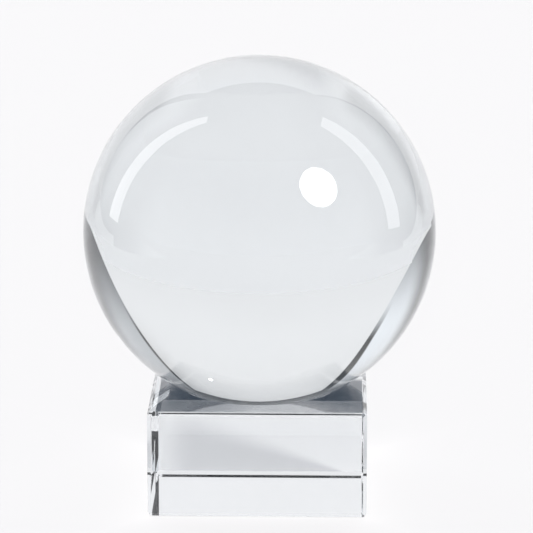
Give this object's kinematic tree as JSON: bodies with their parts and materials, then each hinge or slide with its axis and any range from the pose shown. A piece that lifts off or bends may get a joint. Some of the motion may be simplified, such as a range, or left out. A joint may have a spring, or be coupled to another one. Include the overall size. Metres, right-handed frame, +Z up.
{
  "type": "crystal ball on glass stand",
  "caption": "Clear polished crystal ball resting in the ground round seat of a square chamfered glass block, for divination acts and contact juggling displays.",
  "frame": {"origin": "centre of the stand block's underside, on the surface that the stand rests on", "axes": "+Z up through the centre of the ball, X and Y square to the block's side faces"},
  "size_m": [0.08, 0.08, 0.1],
  "materials": {
    "ball_crystal": "clear, polished",
    "stand_crystal": "clear, polished, edges ground and polished"
  },
  "bodies": {
    "stand": {"stand_block": "stand_crystal"},
    "ball": {"crystal_ball": "ball_crystal"}
  },
  "joints": [
    {"name": "ball_lift", "type": "slide", "parent": "stand", "child": "ball", "axis": [0, 0, 1], "range_m": [0, 0.01]}
  ]
}
